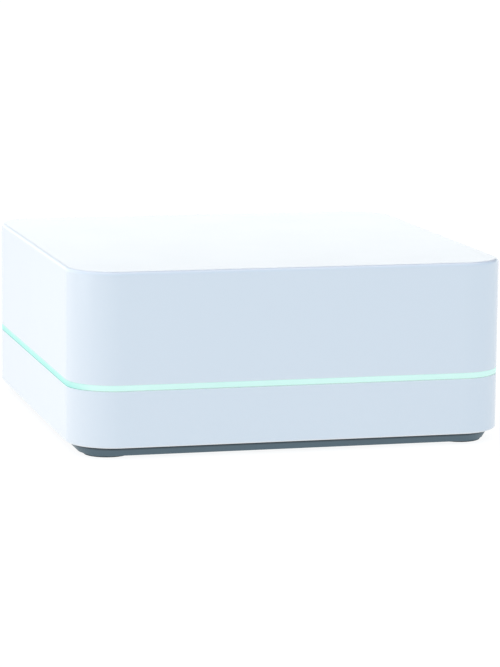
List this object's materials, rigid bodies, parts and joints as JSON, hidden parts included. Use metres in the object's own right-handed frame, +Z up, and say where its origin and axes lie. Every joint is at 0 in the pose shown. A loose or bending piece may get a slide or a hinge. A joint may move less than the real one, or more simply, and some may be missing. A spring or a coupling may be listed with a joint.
{
  "type": "smart home hub",
  "caption": "Square white tabletop hub with rounded corners, a lit ring between its two shells, a recessed grey base on rubber feet, rear sockets and a push button.",
  "frame": {"origin": "middle of the body's footprint, on the plane the feet rest on", "axes": "+Z up through the top, front towards -Y, sockets on the +Y side, +X to the right seen from the front"},
  "size_m": [0.122, 0.122, 0.0508],
  "materials": {
    "shell_white": "high gloss white moulding",
    "ring_glow": "translucent diffuser, lit mint",
    "base_slate": "fine-textured slate grey moulding",
    "rubber_dark": "matt dark rubber",
    "screw_steel": "zinc plated",
    "panel_white": "satin white moulding",
    "label_silver": "blank label, satin",
    "reflector_white": "matt white reflector",
    "board_green": "solder mask over glass laminate",
    "emitter_white": "light emitter packages",
    "plastic_black": "moulded black nylon",
    "plastic_ivory": "natural nylon",
    "chip_black": "moulded epoxy",
    "pad_blue": "soft thermal pad",
    "sink_aluminium": "anodised",
    "plated_steel": "tin plated sheet",
    "contact_gold": "gold plated",
    "lamp_clear": "clear green lamp",
    "ferrite_grey": "pressed ferrite",
    "can_aluminium": "bright can",
    "lead_grey": "fine coaxial lead",
    "component_tan": "chip components",
    "button_white": "gloss white button",
    "plunger_orange": "switch plunger"
  },
  "bodies": {
    "housing": {"upper_shell": "shell_white", "light_ring": "ring_glow", "lower_shell": "shell_white", "base_plate": "base_slate", "foot_front_left": "rubber_dark", "foot_front_right": "rubber_dark", "foot_rear_left": "rubber_dark", "foot_rear_right": "rubber_dark", "base_screws": "screw_steel", "rear_panel": "panel_white", "rating_label": "label_silver", "light_baffle": "reflector_white", "light_board": "board_green", "light_emitters": "emitter_white", "link_socket": "plastic_black", "link_header": "plastic_ivory", "main_board": "board_green", "board_screws": "screw_steel", "processor": "chip_black", "thermal_pad": "pad_blue", "heat_sink": "sink_aluminium", "heat_sink_pins": "plastic_ivory", "heat_sink_springs": "screw_steel", "memory_chip_1": "chip_black", "memory_chip_2": "chip_black", "flash_chip": "chip_black", "network_chip": "chip_black", "network_transformer": "chip_black", "network_shield": "plated_steel", "network_insert": "plastic_black", "network_contacts": "contact_gold", "network_lamps": "lamp_clear", "usb_shell_1": "plated_steel", "usb_tongue_1": "plastic_ivory", "usb_shell_2": "plated_steel", "usb_tongue_2": "plastic_ivory", "power_socket": "plastic_black", "power_centre_pin": "contact_gold", "power_contact": "contact_gold", "power_inductor": "ferrite_grey", "power_regulator": "chip_black", "bulk_capacitor_1": "can_aluminium", "bulk_capacitor_2": "can_aluminium", "bulk_capacitor_3": "can_aluminium", "crystal": "plated_steel", "mesh_radio_board": "board_green", "mesh_radio_can": "plated_steel", "wifi_radio_board": "board_green", "wifi_radio_can": "plated_steel", "wifi_antenna": "board_green", "wifi_antenna_lead": "lead_grey", "coil_antenna": "contact_gold", "radio_chip": "chip_black", "small_components": "component_tan", "pairing_switch": "plastic_black", "reset_switch": "plastic_black"},
    "pairing_button": {"pairing_button": "button_white", "pairing_plunger": "plastic_black"},
    "reset_plunger": {"reset_plunger": "plunger_orange"}
  },
  "joints": [
    {"name": "pairing_press", "type": "slide", "parent": "housing", "child": "pairing_button", "axis": [0, -1, 0], "range_m": [0, 0.0005], "stiffness_N_per_m": 1200, "springref_m": -0.0008},
    {"name": "reset_press", "type": "slide", "parent": "housing", "child": "reset_plunger", "axis": [0, -1, 0], "range_m": [0, 0.00025], "stiffness_N_per_m": 1500, "springref_m": -0.0006}
  ]
}
